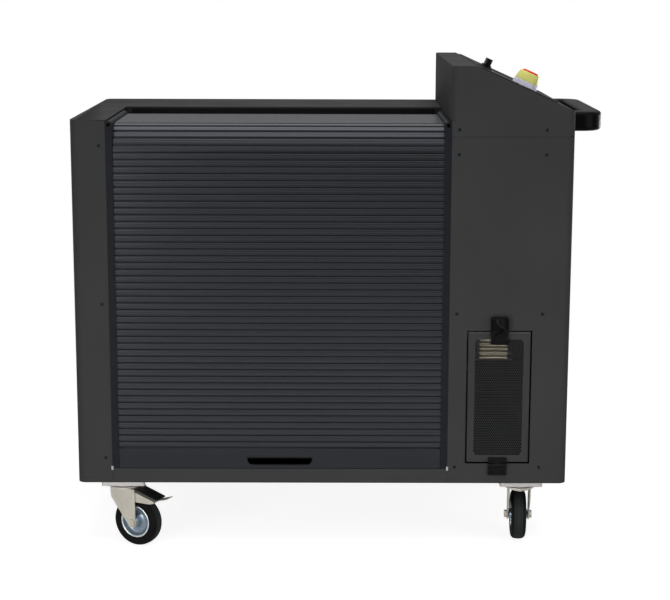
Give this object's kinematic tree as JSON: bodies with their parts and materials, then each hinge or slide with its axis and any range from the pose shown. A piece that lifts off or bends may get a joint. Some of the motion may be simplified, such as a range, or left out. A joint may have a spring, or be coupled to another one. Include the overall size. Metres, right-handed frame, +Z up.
{
  "type": "laser cleaning machine",
  "caption": "Cabinet on swivel casters with a roller shutter over a storage bay, a sloping operator console, a push handle and a perforated filter door for its chiller.",
  "frame": {"origin": "middle of the machine's footprint, on the floor", "axes": "+X towards the push handle, +Y from the shutter side to the rear panel, +Z up"},
  "size_m": [1.285, 0.727, 1.1997],
  "materials": {
    "cabinet_paint": "fine textured powder coat, anthracite",
    "inner_paint": "plain grey paint",
    "slat": "satin lacquered slat",
    "guide": "dark anodised profile",
    "moulded_black": "moulded black plastic",
    "gloss_black": "glossy black moulding",
    "grip": "smooth black foamed grip",
    "seal": "black rubber seal",
    "zinc": "yellowish zinc plating",
    "zinc_blue": "blue zinc plating",
    "tyre": "black rubber",
    "fastener": "blackened steel",
    "steel": "bright steel",
    "yellow": "yellow moulding",
    "red": "red moulding",
    "pale_base": "pale grey moulding",
    "screen": "dark glass",
    "fins": "lacquered fins",
    "fins_dark": "black coated fins",
    "chassis": "grey paint",
    "tank": "natural polyethylene"
  },
  "bodies": {
    "cabinet": {"base_frame": "inner_paint", "floor_pan": "inner_paint", "left_panel": "cabinet_paint", "right_panel": "cabinet_paint", "console_housing": "cabinet_paint", "top_deck": "cabinet_paint", "deck_seal": "seal", "rear_panel": "cabinet_paint", "sill": "cabinet_paint", "bay_liner": "inner_paint", "guide_left": "guide", "guide_right": "guide", "corner_guides": "guide", "guide_clips": "steel", "curtain_front": "slat", "curtain_upper": "slat", "hinge_lower_leaf": "moulded_black", "hinge_pin": "steel", "condenser": "fins_dark", "finned_cooler": "fins", "fan_frame": "moulded_black", "water_tank": "tank", "compressor": "inner_paint", "laser_source": "chassis", "power_supply": "chassis", "display": "screen", "estop_base": "pale_base", "estop_shroud": "yellow", "selector_bezel": "moulded_black", "push_handle": "grip", "handle_bolts": "steel", "panel_screws": "fastener", "mains_gland": "moulded_black", "caster_plates": "zinc"},
    "shutter": {"bottom_rail": "slat", "finger_pull": "moulded_black"},
    "filter_door": {"filter_door": "cabinet_paint", "hinge_upper_leaf": "moulded_black", "latch_body": "moulded_black"},
    "latch_knob": {"latch_knob": "moulded_black"},
    "estop_plunger": {"estop_stem": "moulded_black"},
    "estop_head": {"estop_button": "red"},
    "selector": {"selector_knob": "gloss_black"},
    "fan": {"fan_rotor": "moulded_black"},
    "swivel_fl": {"caster_fl_fork": "zinc"},
    "wheel_fl": {"caster_fl_rim": "zinc_blue", "caster_fl_tyre": "tyre"},
    "brake_fl": {"caster_fl_lever": "zinc", "caster_fl_pedal": "moulded_black"},
    "swivel_fr": {"caster_fr_fork": "zinc"},
    "wheel_fr": {"caster_fr_rim": "zinc_blue", "caster_fr_tyre": "tyre"},
    "swivel_rl": {"caster_rl_fork": "zinc"},
    "wheel_rl": {"caster_rl_rim": "zinc_blue", "caster_rl_tyre": "tyre"},
    "brake_rl": {"caster_rl_lever": "zinc", "caster_rl_pedal": "moulded_black"},
    "swivel_rr": {"caster_rr_fork": "zinc"},
    "wheel_rr": {"caster_rr_rim": "zinc_blue", "caster_rr_tyre": "tyre"}
  },
  "joints": [
    {"name": "shutter_lift", "type": "slide", "parent": "cabinet", "child": "shutter", "axis": [0, 0, 1], "range_m": [0, 0.7], "deforming": ["curtain_front"]},
    {"name": "filter_door_swing", "type": "hinge", "parent": "cabinet", "child": "filter_door", "pos_m": [0.387, -0.34413, 0.215], "axis": [1, 0, 0], "range_deg": [0, 95]},
    {"name": "latch_turn", "type": "hinge", "parent": "filter_door", "child": "latch_knob", "pos_m": [0.386, -0.34813, 0.537], "axis": [0, -1, 0], "range_deg": [0, 90]},
    {"name": "estop_press", "type": "slide", "parent": "cabinet", "child": "estop_plunger", "axis": [-0.41, 0, -0.9121], "range_m": [0, 0.004], "stiffness_N_per_m": 1500},
    {"name": "estop_twist", "type": "hinge", "parent": "estop_plunger", "child": "estop_head", "pos_m": [0.4604, -0.18813, 1.15654], "axis": [-0.41, 0, -0.9121], "range_deg": [0, 30], "stiffness_Nm_per_rad": 0.1},
    {"name": "selector_turn", "type": "hinge", "parent": "cabinet", "child": "selector", "pos_m": [0.35644, -0.18813, 1.18136], "axis": [-0.41, 0, -0.9121], "range_deg": [0, 90]},
    {"name": "fan_spin", "type": "hinge", "parent": "cabinet", "child": "fan", "pos_m": [0.387, -0.23413, 0.358], "axis": [0, 1, 0], "continuous": true},
    {"name": "swivel_fl", "type": "hinge", "parent": "cabinet", "child": "swivel_fl", "pos_m": [-0.5335, -0.29063, 0.148], "axis": [0, 0, 1], "continuous": true},
    {"name": "roll_fl", "type": "hinge", "parent": "swivel_fl", "child": "wheel_fl", "pos_m": [-0.49964, -0.30788, 0.0625], "axis": [-0.454, -0.891, 0], "continuous": true},
    {"name": "brake_fl", "type": "hinge", "parent": "swivel_fl", "child": "brake_fl", "pos_m": [-0.5139, -0.30062, 0.132], "axis": [0.454, 0.891, 0], "range_deg": [0, 12]},
    {"name": "swivel_fr", "type": "hinge", "parent": "cabinet", "child": "swivel_fr", "pos_m": [0.4485, -0.29063, 0.148], "axis": [0, 0, 1], "continuous": true},
    {"name": "roll_fr", "type": "hinge", "parent": "swivel_fr", "child": "wheel_fr", "pos_m": [0.45049, -0.25268, 0.0625], "axis": [0.9986, -0.0523, 0], "continuous": true},
    {"name": "swivel_rl", "type": "hinge", "parent": "cabinet", "child": "swivel_rl", "pos_m": [-0.5335, 0.31437, 0.148], "axis": [0, 0, 1], "continuous": true},
    {"name": "roll_rl", "type": "hinge", "parent": "swivel_rl", "child": "wheel_rl", "pos_m": [-0.53879, 0.27674, 0.0625], "axis": [-0.9903, 0.1392, 0], "continuous": true},
    {"name": "brake_rl", "type": "hinge", "parent": "swivel_rl", "child": "brake_rl", "pos_m": [-0.53656, 0.29258, 0.132], "axis": [0.9903, -0.1392, 0], "range_deg": [0, 12]},
    {"name": "swivel_rr", "type": "hinge", "parent": "cabinet", "child": "swivel_rr", "pos_m": [0.4485, 0.31437, 0.148], "axis": [0, 0, 1], "continuous": true},
    {"name": "roll_rr", "type": "hinge", "parent": "swivel_rr", "child": "wheel_rr", "pos_m": [0.45379, 0.27674, 0.0625], "axis": [-0.9903, -0.1392, 0], "continuous": true}
  ]
}
